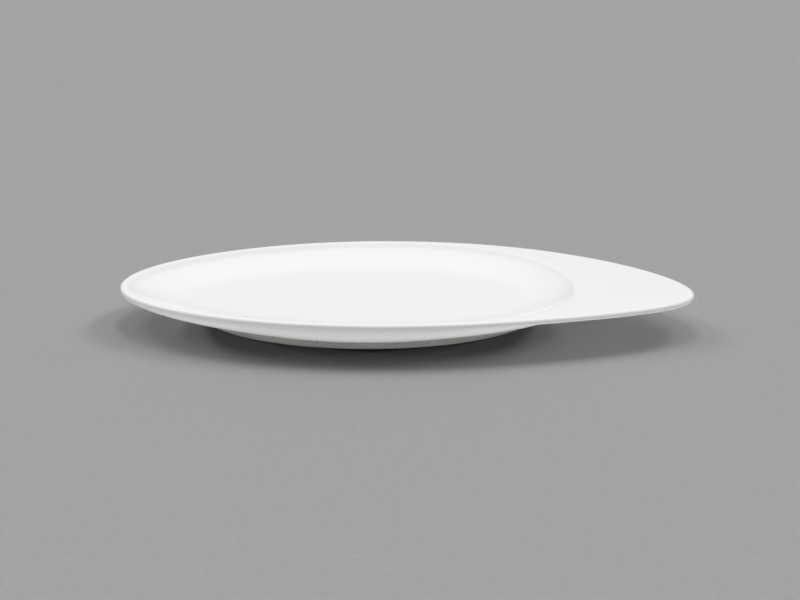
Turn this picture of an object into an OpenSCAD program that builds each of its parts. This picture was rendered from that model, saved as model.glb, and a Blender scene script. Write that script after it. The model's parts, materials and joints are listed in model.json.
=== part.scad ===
// Asymmetric oval serving plate in glazed porcelain: a broad oval end with a shallow well, which runs out
// into a flat tail whose tip swings toward the front. It stands on a bare foot ring.
// Millimetres. X runs along the plate toward the tail, Y toward the back and Z up.
// The origin is on the table, below the middle of the plate's outline.

/* [Outline] */
// Overall length, from the broad end to the tip of the tail
plate_length = 381; // [330:1:440]
// Width across the broadest place
plate_width = 228; // [190:1:270]
// Height of the rim above the table
plate_height = 21.5; // [19:0.5:28]
// Distance from the broad end to the broadest place
broad_reach = 176; // [150:1:200]
// How far each side of the tail is drawn in toward its tip
tail_draw = 19; // [0:1:35]
// How far each side of the broad end is drawn in
broad_draw = 6.5; // [0:0.5:15]
// How far the tip of the tail swings toward the front
tail_swing = 30; // [0:1:45]
// How far the broad end swings toward the front
broad_swing = 7.5; // [0:0.5:15]

/* [Rim] */
// Thickness of the rounded edge
edge_thick = 4; // [3:0.1:4.8]
// Angle below level at which the belly takes over from the rounded edge, along the sides
edge_turn = 30; // [0:5:60]
// Width of the level rim round the broad end and along the sides
rim_land = 5; // [4:0.5:9]
// Length of the flat tail, from its tip back to the lip of the well
tail_flat = 78; // [60:1:100]

/* [Well] */
// Depth of the well floor below the rim
well_depth = 10.5; // [6:0.5:12]
// Plan width of the well wall at the broad end
wall_run_broad = 46; // [25:1:60]
// Plan width of the well wall at the tail
wall_run_tail = 32; // [20:1:45]
// Plan width of the well wall along the sides
wall_run_side = 44; // [25:1:55]
// Drop of the rounded lip at the top of the well wall
lip_drop = 1.4; // [0:0.1:3]
// How the wall runs out into the floor: 1.5 is nearly a straight slope, 3 a tight hollow
wall_hollow = 2; // [1.5:0.1:3]
// How far the lip is filled out on each side of its tail end
lip_fill = 15; // [0:1:18]
// How far the lip swings toward the front at the tail
lip_swing = 16; // [0:1:18]
// How far the well floor swings toward the front at the tail
floor_swing = 8; // [0:1:20]

/* [Underside] */
// Width of the ledge between the outline and the belly, along the sides and round the broad end
under_ledge = 0.9; // [0.5:0.1:2]
// Drop of the ledge from the edge to the belly
ledge_drop = 0.4; // [0.2:0.1:2]
// How much of the belly's run is a straight slope
belly_slope = 0.4; // [0:0.05:0.6]
// How squarely the rest of the belly turns under: 1.5 is a slack curve, 4 a full round wall
belly_fullness = 2.5; // [1.5:0.1:4]
// Depth of the recess in the base, inside the foot ring
base_recess = 0.8; // [0.3:0.1:2]

/* [Foot ring] */
// Height of the foot ring
foot_height = 4.8; // [3.5:0.1:7]
// Width of the foot ring where it meets the plate
foot_wall = 6; // [4:0.5:10]
// Distance from the broad end of the plate to the foot ring
foot_inset_broad = 52.5; // [35:0.5:75]
// Distance from the tip of the tail to the foot ring
foot_inset_tail = 100.5; // [90:0.5:130]
// Distance from the side of the plate to the foot ring
foot_inset_side = 20.5; // [18:0.5:35]
// Inward slope of the outside of the foot ring, over its height
foot_draft = 0.6; // [0:0.1:1.5]
// Chamfer of the standing edges
foot_chamfer = 0.8; // [0.3:0.1:1.5]

/* [Hidden] */

// Angle between neighbouring points of every ring, and the steps along each curved stretch of the section
ring_step = 3;
edge_steps = 8;
wall_steps = 12;
cove_steps = 3;
belly_steps = 9;
// How the steps down the well wall crowd toward the lip
wall_crowding = 2;
// Share of the wall's plan width that the rounded lip takes
lip_share = 0.12;
// Angle used to take a curve's direction
probe = 0.05;
// How far a cutting solid reaches past the faces that it cuts
overcut = 1;
// Shares of the ledge and of the belly that the cove between them takes
cove_ledge = 0.12;
cove_belly = 0.12;
// How late a swing begins along the tail: the outline turns later than the well
outline_turn = 3;
well_turn = 2;

tail_reach = plate_length - broad_reach;
half_width = plate_width / 2;
edge_round = edge_thick / 2;
lip_tail = tail_reach - tail_flat;
lip_broad = broad_reach - rim_land;
lip_half = half_width - rim_land;
shoulder = rim_land - under_ledge;
foot_reach = (plate_length - foot_inset_broad - foot_inset_tail) / 2;
foot_middle = [foot_inset_broad + foot_reach - broad_reach, 0];
ledge_z = plate_height - edge_thick - ledge_drop;
ring_angles = [0 : ring_step : 360 - ring_step];

// A point of an oval made of two half ovals that share their broadest place. Each half is drawn in and
// swung toward the front as it nears its end. The pairs give the value at the broad end, then at the tail.
function oval(t, reach, half, draw = [0, 0], swing = [0, 0], turn = well_turn) =
    let (
        broad = max(-cos(t), 0),
        tail = max(cos(t), 0)
    )
    [
        reach[1] * tail - reach[0] * broad,
        sin(t) * (half - draw[0] * broad ^ 2 - draw[1] * tail ^ 2)
            - swing[0] * broad ^ 2 - swing[1] * tail ^ turn
    ];

// The plan curves of the plate, each a function of the angle round it
outline = function (t) oval(t, [broad_reach, tail_reach], half_width,
    [broad_draw, tail_draw], [broad_swing, tail_swing], outline_turn);
lip = function (t) oval(t, [lip_broad, lip_tail], lip_half,
    [broad_draw, -lip_fill], [broad_swing, lip_swing]);
well_floor = function (t) oval(t, [lip_broad - wall_run_broad, lip_tail - wall_run_tail],
    lip_half - wall_run_side, swing = [0, floor_swing]);
belly_top = function (t) oval(t, [lip_broad + shoulder, lip_tail + shoulder], lip_half + shoulder,
    [broad_draw, -lip_fill], [broad_swing, lip_swing]);
foot = function (t) foot_middle + oval(t, [foot_reach, foot_reach], half_width - foot_inset_side);

// The middle of the outline's box, which the origin lies below
rim_x = [for (t = ring_angles) outline(t).x];
rim_y = [for (t = ring_angles) outline(t).y];
middle = [max(rim_x) + min(rim_x), max(rim_y) + min(rim_y)] / 2;

// A point set in from a curve, square to it, by the distance d
function set_in(curve, t, d) =
    let (
        run = curve(t + probe) - curve(t - probe),
        side = [run.y, -run.x] / norm(run)
    )
    curve(t) - d * side;

// Level rings, each a list of points: one set in from a curve, and one at a share of the way between two
function ring_in(curve, d, z) = [for (t = ring_angles) concat(set_in(curve, t, d) - middle, z)];
function ring_between(a, b, share, z) =
    [for (t = ring_angles) concat(a(t) + (b(t) - a(t)) * share - middle, z)];

// Drop of the well wall at a share of its run from the lip: a rounded step, then a hollow that runs out level
function wall_drop(share) =
    let (step = min(share / lip_share, 1))
    lip_drop * step ^ 2 * (3 - 2 * step) + (well_depth - lip_drop) * (1 - (1 - share) ^ wall_hollow);

// The well, from its floor up to the lip
well_rings = [for (i = [wall_steps : -1 : 0])
    let (share = (i / wall_steps) ^ wall_crowding)
    ring_between(lip, well_floor, share, plate_height - wall_drop(share))];

// The rounded edge, from the rim over to the underside. Along the sides it stops part of the way round, where
// the belly takes over, and at the tip of the tail it is a full half round.
function edge_point(t, share) =
    let (a = 90 - (90 + edge_turn + (90 - edge_turn) * max(cos(t), 0) ^ 2) * share)
    concat(set_in(outline, t, edge_round * (1 - cos(a))) - middle, plate_height - edge_round * (1 - sin(a)));
edge_rings = [for (i = [0 : edge_steps]) [for (t = ring_angles) edge_point(t, i / edge_steps)]];

// The belly, from its top under the ledge, turning under to the foot
function belly_run(share) = belly_slope * share + (1 - belly_slope) * share ^ belly_fullness;
function belly_ring(share) =
    ring_between(belly_top, foot, belly_run(share), ledge_z - (ledge_z - foot_height) * share);
belly_rings = [for (i = [0 : belly_steps]) belly_ring(cove_belly + (1 - cove_belly) * i / belly_steps)];

// The cove that leads from the ledge under the edge into the belly, in place of a sharp corner
cove_corner = belly_ring(0);
cove_start = (1 - cove_ledge) * cove_corner + cove_ledge * edge_rings[edge_steps];
cove_rings = [for (i = [0 : cove_steps - 1])
    let (u = i / cove_steps)
    (1 - u) ^ 2 * cove_start + 2 * u * (1 - u) * cove_corner + u ^ 2 * belly_rings[0]];

// A solid through a stack of rings, closed at both ends. The stack starts on top and ends below.
module loft(rings) {
    count = len(rings[0]);
    last = len(rings) - 1;
    function index(ring, i) = ring * count + i % count;
    sides = [for (r = [0 : last - 1], i = [0 : count - 1]) each [
        [index(r, i), index(r, i + 1), index(r + 1, i)],
        [index(r, i + 1), index(r + 1, i + 1), index(r + 1, i)]
    ]];
    top = [for (i = [count - 1 : -1 : 0]) index(0, i)];
    bottom = [for (i = [0 : count - 1]) index(last, i)];
    polyhedron([for (ring = rings) each ring], concat([top, bottom], sides), convexity = 6);
}

// The glazed body: tail, rim, well, rounded edge and belly, with a flat seat round its recessed base
module plate_body() {
    color("white")
        difference() {
            loft(concat(well_rings, edge_rings, cove_rings, belly_rings));
            loft([
                ring_in(foot, foot_wall, foot_height + base_recess),
                ring_in(foot, foot_wall, foot_height - overcut)
            ]);
        }
}

// The bare standing ring: drafted outside, upright inside, with both standing edges chamfered
module foot_ring() {
    color("gainsboro")
        difference() {
            loft([
                ring_in(foot, 0, foot_height),
                ring_in(foot, foot_draft, foot_chamfer),
                ring_in(foot, foot_draft + foot_chamfer, 0)
            ]);
            loft([
                ring_in(foot, foot_wall, foot_height + overcut),
                ring_in(foot, foot_wall, foot_chamfer),
                ring_in(foot, foot_wall - foot_chamfer - overcut, -overcut)
            ]);
        }
}

plate_body();
foot_ring();
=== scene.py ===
# %% [markdown]
# # A swept oval plate in white porcelain
# The object is a serving plate: a broad oval end with a shallow well, which runs out into a flat tail to
# lift it by. It is fired as one thing and comes in two finishes, a glossy white glaze nearly all over and a
# bare, matt foot ring that meets the table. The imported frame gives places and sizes, in metres, with the
# plate lying along X, its tail toward +X and its back toward +Y. The two CAD nodes are made of flat
# triangles, so each gets a smooth mesh that stands for it, built on the same curves.

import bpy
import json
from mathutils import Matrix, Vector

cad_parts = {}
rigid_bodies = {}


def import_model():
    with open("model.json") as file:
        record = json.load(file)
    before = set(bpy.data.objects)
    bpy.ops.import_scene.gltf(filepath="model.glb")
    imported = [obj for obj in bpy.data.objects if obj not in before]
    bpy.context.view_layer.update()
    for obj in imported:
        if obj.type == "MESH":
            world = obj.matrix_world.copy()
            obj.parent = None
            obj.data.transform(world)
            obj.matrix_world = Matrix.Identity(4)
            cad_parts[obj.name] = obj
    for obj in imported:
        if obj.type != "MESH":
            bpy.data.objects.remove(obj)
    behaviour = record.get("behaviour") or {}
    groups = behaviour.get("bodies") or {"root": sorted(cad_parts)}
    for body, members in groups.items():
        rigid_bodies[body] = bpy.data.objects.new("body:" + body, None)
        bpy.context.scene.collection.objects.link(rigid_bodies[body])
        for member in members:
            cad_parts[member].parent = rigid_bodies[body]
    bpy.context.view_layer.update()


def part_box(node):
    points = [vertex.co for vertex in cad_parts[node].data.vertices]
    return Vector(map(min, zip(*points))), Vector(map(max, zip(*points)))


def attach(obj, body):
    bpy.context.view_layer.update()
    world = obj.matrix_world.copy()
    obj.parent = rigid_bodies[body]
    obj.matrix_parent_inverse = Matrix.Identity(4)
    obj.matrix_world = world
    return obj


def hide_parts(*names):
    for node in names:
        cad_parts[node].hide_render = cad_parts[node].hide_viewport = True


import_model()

# %% [markdown]
# ## Sizes
# What the frame can tell is read from it: the plate's length, width and height, and the foot ring's reach.
# Only the sizes inside those boxes are written here, in millimetres as on a potter's drawing. The plan is
# measured from the broadest place of the plate, which lies nearer to its broad end than to its tail.

# %% Sizes from the frame
import json
import math

import bmesh
import bpy
from mathutils import Vector

MM = 0.001
plate_low, plate_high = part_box("plate_body")
foot_low, foot_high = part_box("foot_ring")

broad_reach = 176 * MM  # from the broad end to the broadest place
broadest_x = plate_low.x + broad_reach
tail_reach = plate_high.x - broadest_x
half_width = plate_high.y
rim_z = plate_high.z
foot_top = foot_high.z
print("broadest place at x =", round(broadest_x / MM, 1), "mm, tail", round(tail_reach / MM, 1), "mm from it")

# %% [markdown]
# ## The outline and the lip
# Seen from above, every line of the plate is an oval made of two half ovals that share their broadest
# place. A half can be drawn in toward its end, and swung toward the front, which gives the tail its sweep.
# A circle that is scaled by hand can't swing like that, so the oval is a formula of the turn round it, and
# later each loop of the mesh is laid on it. The pairs give the broad end's value, then the tail's.

# %% Draw the outline and the lip
SOFT_TURN = 2  # the power by which a swing grows: the lip of the well turns early
LATE_TURN = 3  # and the outline late


def oval(turn, reach, half, draw=(0, 0), swing=(0, 0), lateness=SOFT_TURN):
    """A point of a plan curve, at an angle in radians round it."""
    broad = max(-math.cos(turn), 0)
    tail = max(math.cos(turn), 0)
    side = half - draw[0] * broad**2 - draw[1] * tail**2
    swung = swing[0] * broad**2 + swing[1] * tail**lateness
    return Vector((broadest_x + reach[1] * tail - reach[0] * broad, side * math.sin(turn) - swung))


broad_draw = 6.5 * MM  # how far each side is drawn in toward the broad end
tail_draw = 19 * MM
broad_swing = 7.5 * MM  # how far an end swings toward the front
tail_swing = 30 * MM
rim_land = 5 * MM  # width of the level rim round the broad end
tail_flat = 78 * MM  # length of the flat tail, from its tip to the lip of the well
lip_fill = 15 * MM  # how far the lip is filled out on each side of its tail end
lip_swing = 16 * MM
lip_reach = (broad_reach - rim_land, tail_reach - tail_flat)
lip_half = half_width - rim_land


def outline(turn):
    """The edge of the plate, seen from above."""
    reach, draw, swing = (broad_reach, tail_reach), (broad_draw, tail_draw), (broad_swing, tail_swing)
    return oval(turn, reach, half_width, draw, swing, LATE_TURN)


def lip(turn, outward=0):
    """The line where the level rim turns down into the well, or a line that far outside it."""
    reach = [each + outward for each in lip_reach]
    return oval(turn, reach, lip_half + outward, (broad_draw, -lip_fill), (broad_swing, lip_swing))


print("lip from x =", [round(lip(turn).x / MM, 1) for turn in (math.pi, 0)], "mm")

# %% [markdown]
# ## The well floor and the foot
# The floor of the well is a smaller oval, set in by the width of the wall, which is broad all round and
# narrower toward the tail. The foot is a plain ellipse, and its place and size come from the foot ring's
# own box. Two small helpers make new curves of these: one part of the way between two of them, and one
# inside another.

# %% Draw the well floor and the foot
wall_run = {"broad": 46 * MM, "tail": 32 * MM, "side": 44 * MM}  # plan width of the well's wall
floor_swing = 8 * MM
foot_middle = (foot_low.x + foot_high.x) / 2
foot_reach = (foot_high.x - foot_low.x) / 2


def floor_edge(turn):
    """The line where the wall of the well has run out into its floor."""
    reach = (lip_reach[0] - wall_run["broad"], lip_reach[1] - wall_run["tail"])
    return oval(turn, reach, lip_half - wall_run["side"], swing=(0, floor_swing))


def foot_line(turn):
    """The outside of the foot where it meets the plate."""
    return Vector((foot_middle + foot_reach * math.cos(turn), foot_high.y * math.sin(turn)))


def between(first, second, share):
    """The curve at a share of the way from one plan curve to another."""
    return lambda turn: first(turn).lerp(second(turn), share)


def set_in(curve, distance):
    """The curve that lies inside another by an even distance, measured square to it."""
    small_turn = 0.001

    def inner(turn):
        run = curve(turn + small_turn) - curve(turn - small_turn)
        return curve(turn) - distance * Vector((run.y, -run.x)).normalized()

    return inner


print("foot in mm: reach", round(foot_reach / MM, 1), "from its middle at x =", round(foot_middle / MM, 1))

# %% [markdown]
# ## One ring, pulled round the section
# A potter's template sweeps the section of a plate round its plan, and the mesh is made the same way: one
# circle is extruded again and again, and each new loop is laid on its own path. Scaling each loop by hand
# would do for a round plate. Here every point keeps its turn as an attribute, which Extrude copies, so that
# the loop can be laid on a path that is no scaled circle. A second attribute holds how deep the glaze lies,
# from 0 to 1, for the finish to read.

# %% Start a ring
RING_POINTS = 128


def open_mesh():
    """The mesh that is open in edit mode."""
    return bmesh.from_edit_mesh(bpy.context.edit_object.data)


def start_ring(name, curve, height):
    """Adds a circle of about the curve's size, at its place, and opens it in edit mode."""
    bpy.ops.object.select_all(action="DESELECT")
    radius = (curve(0) - curve(math.pi)).length / 2
    place = (broadest_x, 0, height)
    bpy.ops.mesh.primitive_circle_add(vertices=RING_POINTS, radius=radius, location=place, calc_uvs=False)
    bpy.ops.object.transform_apply(location=True, rotation=False, scale=False)
    bpy.context.object.name = name
    for attribute in ("turn", "glaze_depth"):
        bpy.context.object.data.attributes.new(attribute, "FLOAT", "POINT")
    bpy.ops.object.mode_set(mode="EDIT")
    bpy.ops.mesh.select_mode(type="EDGE")
    bpy.ops.mesh.select_all(action="SELECT")
    mesh = open_mesh()
    turn = mesh.verts.layers.float["turn"]
    for point in mesh.verts:
        point[turn] = math.atan2(point.co.y, point.co.x - broadest_x)


print("a loop has a point every", 360 / RING_POINTS, "degrees")

# %% [markdown]
# ## Laying the loops
# By hand one would extrude a loop, scale it and move it into place, over and over. Two helpers do that here:
# one lays the selected loop on a path, and the other pulls a new loop out of it first. A path is a function
# that gives a place in space for a turn, and most paths are a plan curve at one height.

# %% Lay and extrude
EVEN_GLAZE = 0.5  # how deep the glaze lies where it neither gathers nor thins


def level(curve, height):
    """The path of a plan curve at one height."""
    return lambda turn: Vector((*curve(turn), height))


def lay_loop(path, depth=EVEN_GLAZE):
    """Lays the selected loop on a path, and notes how deep the glaze lies there."""
    mesh = open_mesh()
    turn = mesh.verts.layers.float["turn"]
    glaze_depth = mesh.verts.layers.float["glaze_depth"]
    for point in mesh.verts:
        if point.select:
            point.co = path(point[turn])
            point[glaze_depth] = depth
    bmesh.update_edit_mesh(bpy.context.edit_object.data)


def extrude_to(path, depth=EVEN_GLAZE):
    """Pulls a new loop out of the selected one and lays it on its path."""
    bpy.ops.mesh.extrude_region_move()
    lay_loop(path, depth)


def loop_count():
    """How many loops the open mesh has so far."""
    return len(open_mesh().verts) // RING_POINTS


print("glaze lies", EVEN_GLAZE, "deep where a loop says nothing else")

# %% [markdown]
# ## The floor and wall of the well
# The work starts in the middle of the floor and goes outward. Fired porcelain is never dead flat: the floor
# sags a little in the kiln, by a third of a millimetre here, which keeps its reflections alive. The wall
# turns down over a small rounded lip, which softens toward the tail, and then runs out in one long hollow,
# so its loops crowd near the lip. Melted glaze flows down the wall: it thins over the lip and gathers where
# the wall meets the floor.

# %% Extrude the well
well_depth = 10.5 * MM
floor_z = rim_z - well_depth
floor_sag = 0.3 * MM
floor_shares = (0.3, 0.5, 0.7, 0.86, 0.95)  # where the floor's loops lie between its middle and its edge
lip_drop = 1.4 * MM  # drop of the rounded lip
lip_fade = 0.7  # how much of that drop is lost toward the tail
lip_share = 0.12  # share of the wall's width that the lip takes
wall_hollow = 2  # the power by which the wall runs out into the floor
wall_steps = 12
wall_crowding = 2  # the power by which the wall's loops crowd toward the lip
lip_glaze, pooled_glaze = 0.25, 0.9


def middle(turn):
    """The broadest place, which loops in the floor and the base draw in to."""
    return Vector((broadest_x, 0))


def wall(share):
    """The path at a share of the wall's width from the lip: a rounded step, then a hollow that runs out."""
    step = min(share / lip_share, 1)

    def path(turn):
        drop = lip_drop * (1 - lip_fade * max(math.cos(turn), 0) ** 2)
        fall = drop * step**2 * (3 - 2 * step) + (well_depth - drop) * (1 - (1 - share) ** wall_hollow)
        return level(between(lip, floor_edge, share), rim_z - fall)(turn)

    return path


start_ring("glazed_plate", floor_edge, floor_z)
for share in floor_shares:
    lay = lay_loop if share == floor_shares[0] else extrude_to
    lay(level(between(middle, floor_edge, share), floor_z - floor_sag * (1 - share**2)))
for step in range(wall_steps, -1, -1):
    share = (step / wall_steps) ** wall_crowding
    extrude_to(wall(share), lip_glaze + (pooled_glaze - lip_glaze) * math.sqrt(share))
print("well:", loop_count(), "loops of", RING_POINTS, "points")

# %% [markdown]
# ## The level rim, the tail and the rounded edge
# From the lip the rim runs level to the edge: a narrow land round the broad end, and the whole flat of the
# tail. At the tip of the tail the edge is a half round. Along the sides it stops part of the way round,
# where the belly takes over. A bevel would round it by the same amount everywhere, so the loops are stepped
# round the arc instead. Glaze pulls thin over such an edge and the body shows warmer.

# %% Extrude the rim and the edge
edge_round = 2 * MM
edge_turn = math.radians(30)  # how far below level the edge turns along the sides
edge_steps = 8
land_shares = (0.2, 0.5, 0.8)  # where the rim's loops lie between the lip and the edge
edge_glaze = 0.1


def edge(share):
    """The path at a share of the way round the edge, from the rim over to the underside."""

    def path(turn):
        below = edge_turn + (math.pi / 2 - edge_turn) * max(math.cos(turn), 0) ** 2
        angle = math.pi / 2 - (math.pi / 2 + below) * share
        inward = edge_round * (1 - math.cos(angle))
        return level(set_in(outline, inward), rim_z - edge_round * (1 - math.sin(angle)))(turn)

    return path


for share in land_shares:
    extrude_to(level(between(lip, set_in(outline, edge_round), share), rim_z))
for step in range(edge_steps + 1):
    extrude_to(edge(step / edge_steps), edge_glaze)
print("rim and edge:", loop_count(), "loops so far")

# %% [markdown]
# ## The underside
# Along the sides the belly goes on from the edge in one full curve, which turns under to the foot. Below the
# tail it springs from the flat underside instead, and a cove leads into it, so that no corner holds dirt.
# The cove bends between three paths, as a Bezier curve does. The belly stops a little outside the foot,
# where the roll of glaze takes over.

# %% Extrude the cove and the belly
under_ledge = 0.9 * MM  # from the outline in to the belly, along the sides
ledge_drop = 0.4 * MM  # from the edge down to the belly
ledge_z = rim_z - 2 * edge_round - ledge_drop
belly_slope = 0.4  # how much of the belly's run is a straight slope
belly_fullness = 2.5  # 1.5 is a slack curve, 4 a full round wall
cove_ledge = 0.12  # shares of the ledge and of the belly that the cove takes
cove_belly = 0.12
cove_steps = 4
belly_steps = 12
belly_end = 0.96  # share of the belly's height at which the roll takes over


def belly_top(turn):
    """The line that the belly springs from."""
    return lip(turn, rim_land - under_ledge)


def belly(share):
    """The path at a share of the way down the belly."""
    run = belly_slope * share + (1 - belly_slope) * share**belly_fullness
    return level(between(belly_top, foot_line, run), ledge_z - (ledge_z - foot_top) * share)


def cove(bend):
    """The path at a share of the way along the cove, from the ledge to the belly."""

    def path(turn):
        corner = belly(0)(turn)
        start = corner.lerp(edge(1)(turn), cove_ledge)
        end = belly(cove_belly)(turn)
        return start.lerp(corner, bend).lerp(corner.lerp(end, bend), bend)

    return path


for step in range(cove_steps):
    extrude_to(cove(step / cove_steps))
for step in range(belly_steps + 1):
    extrude_to(belly(cove_belly + (belly_end - cove_belly) * step / belly_steps))
print("underside:", loop_count(), "loops so far")

# %% [markdown]
# ## The roll of glaze and the base
# The foot is wiped clean before firing, and the melted glaze stops above it in a low, round roll. It is
# made in a few loops that lean against the foot's wall. The hidden seat over the foot ring stays a hair
# clear of it. Inside the foot the same roll stands on the inner wall, and the base lies a little higher.

# %% Extrude the roll, the seat and the base
hair = 0.01 * MM  # a gap too small to see
foot_wall = 6 * MM
# How far each loop stands off the foot's wall, and how high above the foot's top, in millimetres
roll_section = ((0.7, 0.24), (0.42, 0.09), (0.27, -0.02), (0.12, -0.09), (0.01, -0.1))
base_section = ((1.6, 0.62), (3.2, 0.78), (5.0, 0.8))
base_shares = (0.75, 0.5, 0.3)  # where the base's loops lie between its middle and its edge

for off, above in roll_section:
    extrude_to(level(set_in(foot_line, -off * MM), foot_top + above * MM), pooled_glaze)
for inward in (-hair, foot_wall / 2, foot_wall + hair):
    extrude_to(level(set_in(foot_line, inward), foot_top + hair))
for off, above in (*reversed(roll_section), *base_section):
    extrude_to(level(set_in(foot_line, foot_wall + off * MM), foot_top + above * MM), pooled_glaze)
base_edge = set_in(foot_line, foot_wall + base_section[-1][0] * MM)
base_z = foot_top + base_section[-1][1] * MM
for share in base_shares:
    extrude_to(level(between(middle, base_edge, share), base_z))
print("all round the section:", loop_count(), "loops")

# %% [markdown]
# ## Closing and smoothing the plate
# Two open rings are left, in the middle of the floor and of the base. A fan of triangles would meet in a
# pole there, so Grid Fill closes them with quads. One level of subdivision then turns the loops into a
# smooth surface, and shading does the rest. The turns have done their work and are taken off again.

# %% Close, subdivide and shade


def close_ring(height):
    """Fills the open ring that lies at one height with a grid of quads."""
    bpy.ops.mesh.select_all(action="DESELECT")
    for line in open_mesh().edges:
        line.select_set(line.is_boundary and abs(line.verts[0].co.z - height) < hair)
    bpy.ops.mesh.fill_grid(span=RING_POINTS // 4)


def finish_piece():
    """Turns every face outward, subdivides the open piece once, shades it smooth and hands it over."""
    bpy.ops.mesh.select_all(action="SELECT")
    bpy.ops.mesh.normals_make_consistent(inside=False)
    bpy.ops.object.mode_set(mode="OBJECT")
    piece = bpy.context.object
    bpy.ops.object.modifier_add(type="SUBSURF")
    smoothing = piece.modifiers[-1]
    smoothing.levels = smoothing.render_levels = 1
    bpy.ops.object.modifier_apply(modifier=smoothing.name)
    bpy.ops.object.shade_smooth()
    piece.data.attributes.remove(piece.data.attributes["turn"])
    print(piece.name, "has", len(piece.data.polygons), "faces")
    return piece


close_ring(floor_z - floor_sag * (1 - floor_shares[0] ** 2))
close_ring(base_z)
glazed_plate = finish_piece()

# %% [markdown]
# ## The foot ring
# The foot is the one place where the bare body shows. Its section is a plain bar, drafted outside and
# upright inside, so four loops and a bridge make it. Bevels then give it the edges of the real one: wide
# and round where it was sponged at the standing face, and tight where it goes up under the glaze.

# %% Build the foot ring
foot_draft = 0.6 * MM
standing_bevel = 0.8 * MM
top_bevel = 0.1 * MM
bevel_steps = 4


def select_loops(height):
    """Selects the edges that run round the ring at one height, and not those that cross it."""
    bpy.ops.mesh.select_all(action="DESELECT")
    mesh = open_mesh()
    turn = mesh.verts.layers.float["turn"]
    for line in mesh.edges:
        first, second = line.verts
        at_height = max(abs(first.co.z - height), abs(second.co.z - height)) < hair
        line.select_set(at_height and first[turn] != second[turn])


start_ring("bare_foot_ring", foot_line, foot_top)
lay_loop(level(foot_line, foot_top))
for inward, height in ((foot_draft, 0), (foot_wall, 0), (foot_wall, foot_top)):
    extrude_to(level(set_in(foot_line, inward), height))
select_loops(foot_top)
bpy.ops.mesh.bridge_edge_loops()
for height, width in ((0, standing_bevel), (foot_top, top_bevel)):
    select_loops(height)
    bpy.ops.mesh.bevel(offset=width, segments=bevel_steps, profile=0.5)
bare_foot_ring = finish_piece()

# %% [markdown]
# ## Patterns for the finishes
# Both finishes are made of nodes. The first helper opens a material and gives its coordinates, which are the
# object's own, so that patterns have real sizes in metres and stay put when the plate moves. The other two
# add one node each: a cloudy pattern of one size, and a range to map it on.

# %% Helpers for patterns


def new_finish(name):
    """A new material, with its nodes, its shader and its coordinates."""
    finish = bpy.data.materials.new(name)
    finish.use_nodes = True
    tree = finish.node_tree
    return finish, tree, tree.nodes["Principled BSDF"], tree.nodes.new("ShaderNodeTexCoord").outputs["Object"]


def clouds(tree, place, size, detail=2):
    """A cloudy pattern with patches of about one size."""
    node = tree.nodes.new("ShaderNodeTexNoise")
    node.inputs["Scale"].default_value = 1 / size
    node.inputs["Detail"].default_value = detail
    tree.links.new(place, node.inputs["Vector"])
    return node.outputs["Fac"]


def onto_range(tree, value, low, high, start=0.3, end=0.7):
    """Maps a value from one range onto another. Clouds have nearly all their values from 0.3 to 0.7."""
    node = tree.nodes.new("ShaderNodeMapRange")
    for socket, number in (("From Min", start), ("From Max", end), ("To Min", low), ("To Max", high)):
        node.inputs[socket].default_value = number
    tree.links.new(value, node.inputs["Value"])
    return node.outputs["Result"]


# %% [markdown]
# ## Colours and bumps
# No real surface is one flat colour, so patterns mix the colours, one over another, as washes are laid in a
# painting. A bump lets light see a pattern as relief. It takes a height in metres, so it can be as low as
# the real thing, and what is higher than that is modelled in the mesh.

# %% Helpers for colours and bumps


def mixed(tree, share, first, second):
    """A colour between two, by a share. Each is a colour or the output of another node."""
    node = tree.nodes.new("ShaderNodeMix")
    node.data_type = "RGBA"
    tree.links.new(share, node.inputs["Factor"])
    for socket, colour in ((node.inputs[6], first), (node.inputs[7], second)):
        if isinstance(colour, tuple):
            socket.default_value = (*colour, 1)
        else:
            tree.links.new(colour, socket)
    return node.outputs[2]


def bumped(tree, height, rise, over=None):
    """A surface raised by a pattern, by so much at most, on top of another bump."""
    node = tree.nodes.new("ShaderNodeBump")
    node.inputs["Distance"].default_value = rise
    tree.links.new(height, node.inputs["Height"])
    if over is not None:
        tree.links.new(over, node.inputs["Normal"])
    return node.outputs["Normal"]


# %% [markdown]
# ## The white glaze
# Glaze is glass over a white body. It is near white all over, a shade warmer where it pulls thin over the
# rim and a shade cooler where it gathers. Its surface is smooth but not perfect: it waves a little over a
# few centimetres, has the fine skin of melted glass, and its gloss changes from place to place.

# %% Make the glaze
thin_white = (0.86, 0.855, 0.845)
deep_white = (0.85, 0.86, 0.86)
cloud_white = (0.87, 0.866, 0.862)
cloud_size, gloss_size, wave_size, skin_size = 40 * MM, 18 * MM, 30 * MM, 1.5 * MM
wave_height, skin_height = 0.05 * MM, 0.004 * MM
glaze_gloss = (0.09, 0.14)  # roughness, from the glassiest places to the dullest
glass_ior = 1.52

glaze, tree, shader, place = new_finish("white_glaze")
depth = tree.nodes.new("ShaderNodeAttribute")
depth.attribute_name = "glaze_depth"
by_depth = mixed(tree, depth.outputs["Fac"], thin_white, deep_white)
cloudy = onto_range(tree, clouds(tree, place, cloud_size), 0, 1)
tree.links.new(mixed(tree, cloudy, by_depth, cloud_white), shader.inputs["Base Color"])
gloss = onto_range(tree, clouds(tree, place, gloss_size, detail=4), *glaze_gloss)
tree.links.new(gloss, shader.inputs["Roughness"])
waves = bumped(tree, clouds(tree, place, wave_size), wave_height)
skin = bumped(tree, clouds(tree, place, skin_size), skin_height, waves)
tree.links.new(skin, shader.inputs["Normal"])
shader.inputs["IOR"].default_value = glass_ior
glazed_plate.data.materials.append(glaze)
print("glaze:", len(tree.nodes), "nodes")

# %% [markdown]
# ## Patterns of the bare body
# The foot shows the fired body without glaze: grainy to the touch, with fine lines round it from the turning
# tool and small pits where grains came out. The lines come from a cloudy pattern that is squeezed along Z,
# and the pits from the cells of a Voronoi pattern, with clouds added so that no two pits are alike.

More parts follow.
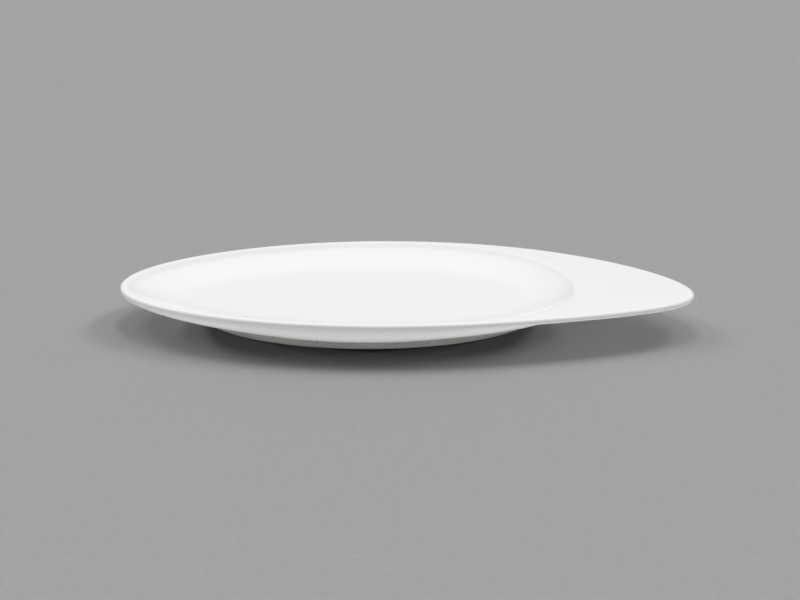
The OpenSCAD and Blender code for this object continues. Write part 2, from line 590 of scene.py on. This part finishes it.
# %% Draw the grain, the pits and the lines
grain_size = 0.7 * MM
pit_spacing = 3.4 * MM
pit_reach = (0.1, 0.22)  # where a pit ends and the body begins, as shares of the spacing
pit_unevenness = (-0.14, 0.2)  # what the clouds take off that share or add to it
pit_cloud_size = 1.2 * MM
line_length = 30 * MM
line_squeeze = 60  # how many times longer than high the lines are


def calculated(tree, operation, first, second):
    """The result of a Math node. The second value is a number or the output of another node."""
    node = tree.nodes.new("ShaderNodeMath")
    node.operation = operation
    tree.links.new(first, node.inputs[0])
    if isinstance(second, bpy.types.NodeSocket):
        tree.links.new(second, node.inputs[1])
    else:
        node.inputs[1].default_value = second
    return node.outputs["Value"]


bare_body, tree, shader, place = new_finish("bare_body")
grain = onto_range(tree, clouds(tree, place, grain_size, detail=3), 0, 1)
cells = tree.nodes.new("ShaderNodeTexVoronoi")
cells.inputs["Scale"].default_value = 1 / pit_spacing
tree.links.new(place, cells.inputs["Vector"])
uneven = onto_range(tree, clouds(tree, place, pit_cloud_size, detail=4), *pit_unevenness)
pits = onto_range(tree, calculated(tree, "ADD", cells.outputs["Distance"], uneven), 0, 1, *pit_reach)
squeeze = tree.nodes.new("ShaderNodeMapping")
squeeze.inputs["Scale"].default_value = (1, 1, line_squeeze)
tree.links.new(place, squeeze.inputs["Vector"])
lines = onto_range(tree, clouds(tree, squeeze.outputs["Vector"], line_length), 0, 1)
print("patterns of the bare body:", len(tree.nodes), "nodes")

# %% [markdown]
# ## The bare body
# Unglazed porcelain is matt and a warm grey, lighter in the grains than between them. The lines are a shade
# darker, the pits are painted darker as shade that falls in them, and each pattern also goes into the relief.

# %% Make the bare body
body_light = (0.65, 0.63, 0.6)
body_dark = (0.48, 0.462, 0.44)
line_grey = (0.4, 0.385, 0.37)
# The pits' grey is painted shade, darker than the body, as shade falls in a pit
pit_painted_shade = (0.34, 0.325, 0.31)
body_gloss = (0.8, 0.95)  # roughness, from between the grains to on top of them
line_height, grain_height, pit_depth = 0.05 * MM, 0.05 * MM, 0.15 * MM

grainy = mixed(tree, grain, body_dark, body_light)
lined = mixed(tree, lines, line_grey, grainy)
# The pits take their grey here: painted shade in the pits
tree.links.new(mixed(tree, pits, pit_painted_shade, lined), shader.inputs["Base Color"])
tree.links.new(onto_range(tree, grain, *body_gloss, start=0, end=1), shader.inputs["Roughness"])
turned = bumped(tree, lines, line_height)
grained = bumped(tree, grain, grain_height, turned)
tree.links.new(bumped(tree, pits, pit_depth, grained), shader.inputs["Normal"])
bare_foot_ring.data.materials.append(bare_body)
print("bare body:", len(tree.nodes), "nodes")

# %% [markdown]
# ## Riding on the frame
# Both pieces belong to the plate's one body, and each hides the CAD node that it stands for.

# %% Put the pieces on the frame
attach(glazed_plate, "root")
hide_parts("plate_body")
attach(bare_foot_ring, "root")
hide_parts("foot_ring")

# %% [markdown]
# ## Floor
# The plate stands on a plain grey paper sweep: one large face, faintly mottled as paper is. By itself this
# paper is nearly black, and strong lights of its own, which come later, bring it up to grey. A pale paper
# would do under one light, but here the tent and the white plate would fill the shadow on it.

# %% Lay the floor
floor_size = 16  # metres
paper_dark = (0.0143, 0.0143, 0.0146)
paper_light = (0.0158, 0.0158, 0.0161)
mottle_size = 4 * MM

bpy.ops.object.select_all(action="DESELECT")
bpy.ops.mesh.primitive_plane_add(size=floor_size, location=(0, 0, -hair))
paper_floor = bpy.context.object
paper_floor.name = "paper_floor"
paper, tree, shader, place = new_finish("grey_paper")
mottle = onto_range(tree, clouds(tree, place, mottle_size), 0, 1)
tree.links.new(mixed(tree, mottle, paper_dark, paper_light), shader.inputs["Base Color"])
shader.inputs["Roughness"].default_value = 1
shader.inputs["Specular IOR Level"].default_value = 0
paper_floor.data.materials.append(paper)
print("floor:", [round(side, 1) for side in paper_floor.dimensions], "m")

# %% [markdown]
# ## The light tent
# White porcelain is shot in a tent of white cloth, which lights it evenly from above and leaves only soft
# reflections in the glaze. Here the world is the tent: its brightness goes by the height of the direction,
# from a dim skirt near the table to a bright roof, and its front is dimmer than its back, which gives the
# wall of the well its shading.

# %% Pitch the tent
skirt_light, roof_light = 0.59, 2.44
front_share = 0.45  # how bright the front of the tent is beside its back

tent = bpy.data.worlds.new("light_tent")
tent.use_nodes = True
tree = tent.node_tree
direction = tree.nodes.new("ShaderNodeTexCoord").outputs["Generated"]
parts = tree.nodes.new("ShaderNodeSeparateXYZ")
tree.links.new(direction, parts.inputs["Vector"])
square = calculated(tree, "POWER", parts.outputs["Z"], 2)
cloth = onto_range(tree, square, skirt_light, roof_light, start=0, end=1)
back = onto_range(tree, parts.outputs["Y"], front_share, 1, start=-1, end=1)
tree.links.new(calculated(tree, "MULTIPLY", cloth, back), tree.nodes["Background"].inputs["Strength"])
tree.nodes["Background"].inputs["Color"].default_value = (1, 1, 1, 1)
bpy.context.scene.world = tent
print("tent:", skirt_light, "at the skirt and", roof_light, "at the roof")

# %% [markdown]
# ## The table's light
# A white table throws light up under the belly, which the dark paper can't, so a soft box shines up from
# below the floor. In a studio, flags keep such a light off the other things. Here light linking does it:
# each light has a list of what it falls on, and a list of what casts its shadows. The box is left out of
# reflections, where it would show as a hard shape in the glaze.

# %% Hang the light below the table
bounce_size, bounce_depth = (0.9, 0.8), 0.4  # metres
bounce_strength = 1.75


def group(name, *pieces):
    """A list of pieces that a light can be linked to."""
    made = bpy.data.collections.new(name)
    for piece in pieces:
        made.objects.link(piece)
    return made


def link_light(light, name, lit, stopped_by):
    """Names a light, lets it fall on one group alone, and takes its shadows from one group alone."""
    light.name = name
    light.light_linking.receiver_collection = lit
    light.light_linking.blocker_collection = stopped_by


plate_group = group("plate_pieces", glazed_plate, bare_foot_ring)
glaze_group = group("glazed_pieces", glazed_plate)
bpy.ops.object.light_add(type="AREA", location=(0, 0, -bounce_depth), rotation=(math.pi, 0, 0))
bounce = bpy.context.object
bounce.data.shape = "RECTANGLE"
bounce.data.size, bounce.data.size_y = bounce_size
bounce.data.energy = bounce_strength * math.pi * bounce_size[0] * bounce_size[1]
bounce.data.cycles.use_multiple_importance_sampling = False
bounce.visible_glossy = False
link_light(bounce, "table_bounce", glaze_group, plate_group)
print("table's light:", round(bounce.data.energy, 2), "W from", bounce_depth, "m below")

# %% [markdown]
# ## The keys, the glows and the fills
# Three keys behind the plate draw its shadow on the paper. Six low glows pass under the plate and only the
# foot stops them: they stand for the light that the white belly throws back on the table, which fades toward
# the foot. Two weak fills, behind the plate and in front of it, are for the foot alone, and leave its ends
# darker. All of them are suns, which light the whole floor evenly, and a wider sun casts a softer shadow.

# %% Hang the keys, the glows and the fills
key_spread, glow_spread, fill_spread = 16, 10, 20  # degrees across
glow_elevation, fill_elevation = 4, 8  # degrees above the table
fill_strength = 0.07
# Degrees above the table, degrees from the back toward the left, and strength
keys = {"back_key": (38, 0, 15.5), "left_key": (28, 30, 9.5), "right_key": (28, -30, 16)}
# Degrees from the back toward the left, and strength
glows = ((72, 2.7), (48, 2.7), (10, 10.8), (-10, 10.8), (-48, 2.5), (-72, 2.5))
foot_group = group("foot_pieces", bare_foot_ring)
floor_group = group("floor_pieces", paper_floor)


def add_sun(name, elevation, aside, strength, spread, lit, stopped_by):
    """A distant light from the back, or some degrees to its left. The strength is what level ground gets."""
    bpy.ops.object.light_add(type="SUN", rotation=(math.radians(elevation - 90), 0, math.radians(aside)))
    sun = bpy.context.object
    sun.data.energy = strength / math.sin(math.radians(elevation))
    sun.data.angle = math.radians(spread)
    link_light(sun, name, lit, stopped_by)


for name, (elevation, aside, strength) in keys.items():
    add_sun(name, elevation, aside, strength, key_spread, floor_group, plate_group)
for aside, strength in glows:
    add_sun("belly_glow", glow_elevation, aside, strength, glow_spread, floor_group, foot_group)
for aside in (0, 180):
    add_sun("foot_fill", fill_elevation, aside, fill_strength, fill_spread, foot_group, plate_group)

# %% [markdown]
# ## Camera
# The camera looks down on the plate at a low angle, from the front, through a long lens that keeps the
# oval's proportions. The Standard view keeps the greys as they are lit.

# %% Set the camera
camera_aim = Vector((-3.5, -11.6, 10.75)) * MM
camera_elevation = math.radians(15)
camera_distance = 1.4858  # metres
lens_length, sensor_width = 100, 36  # millimetres, as Blender takes them

look_back = Vector((0, -math.cos(camera_elevation), math.sin(camera_elevation)))
camera_place = camera_aim + camera_distance * look_back
bpy.ops.object.camera_add(location=camera_place, rotation=(math.pi / 2 - camera_elevation, 0, 0))
camera = bpy.context.object
camera.data.lens = lens_length
camera.data.sensor_width = sensor_width
bpy.context.scene.camera = camera
bpy.context.scene.view_settings.view_transform = "Standard"
print("camera at", [round(each, 4) for each in camera_place], "m")

# %% Finish
bpy.context.view_layer.update()
